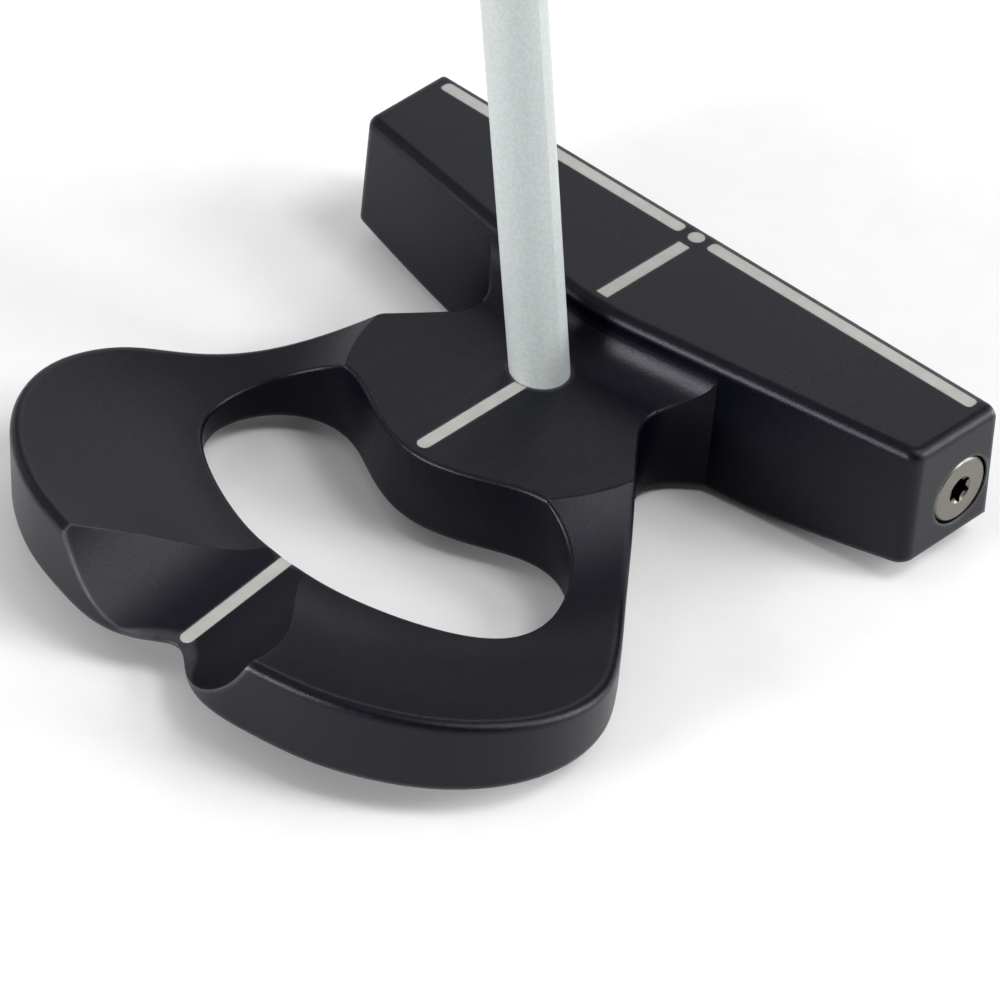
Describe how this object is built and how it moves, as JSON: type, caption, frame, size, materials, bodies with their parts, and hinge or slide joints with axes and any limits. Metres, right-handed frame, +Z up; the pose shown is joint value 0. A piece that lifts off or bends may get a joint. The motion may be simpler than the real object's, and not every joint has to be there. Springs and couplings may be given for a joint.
{
  "type": "mallet putter",
  "caption": "Mallet golf putter with a flat bar face, an open ring-shaped tail with painted sight lines, a straight shaft set in the deck behind the bar, and a pistol grip.",
  "frame": {"origin": "middle of the flat rest patch of the sole, at ground level, on the head's centre plane", "axes": "+X from heel to toe, +Y towards the target (out of the face), +Z up, with the club soled in the address position"},
  "size_m": [0.2587, 0.127, 0.8702],
  "materials": {
    "head_black": "satin black anodised, fine bead blast",
    "weight_steel": "turned stainless",
    "sole_weight": "dull turned",
    "line_paint": "matte enamel",
    "shaft_paint": "satin pale grey",
    "tip_plug": "matte",
    "adhesive": "cured epoxy",
    "tape": "paper tape",
    "grip_rubber": "matte textured"
  },
  "bodies": {
    "club": {"head_body": "head_black", "sole_weight_bar_heel_outer": "sole_weight", "sole_weight_bar_heel_inner": "sole_weight", "sole_weight_bar_toe_inner": "sole_weight", "sole_weight_bar_toe_outer": "sole_weight", "sole_weight_ring_heel_side": "sole_weight", "sole_weight_ring_heel_tail": "sole_weight", "sole_weight_ring_toe_tail": "sole_weight", "sole_weight_ring_toe_side": "sole_weight", "front_line_toe_fill": "line_paint", "front_line_heel_fill": "line_paint", "front_dot_fill": "line_paint", "bar_sight_line_fill": "line_paint", "deck_sight_line_fill": "line_paint", "tail_sight_line_fill": "line_paint", "shaft": "shaft_paint", "shaft_tip_plug": "tip_plug", "shaft_bond": "adhesive", "grip_tape": "tape", "grip": "grip_rubber", "grip_cap": "grip_rubber"},
    "toe_weight": {"toe_weight_screw": "weight_steel"},
    "heel_weight": {"heel_weight_screw": "weight_steel"}
  },
  "joints": [
    {"name": "toe_weight_turn", "type": "hinge", "parent": "club", "child": "toe_weight", "pos_m": [0.05698, 0.0032, 0.0121], "axis": [0.9988, -0.0419, 0.0262], "continuous": true},
    {"name": "heel_weight_turn", "type": "hinge", "parent": "club", "child": "heel_weight", "pos_m": [-0.05755, 0.0032, 0.0121], "axis": [-0.9965, -0.0418, 0.073], "continuous": true}
  ]
}
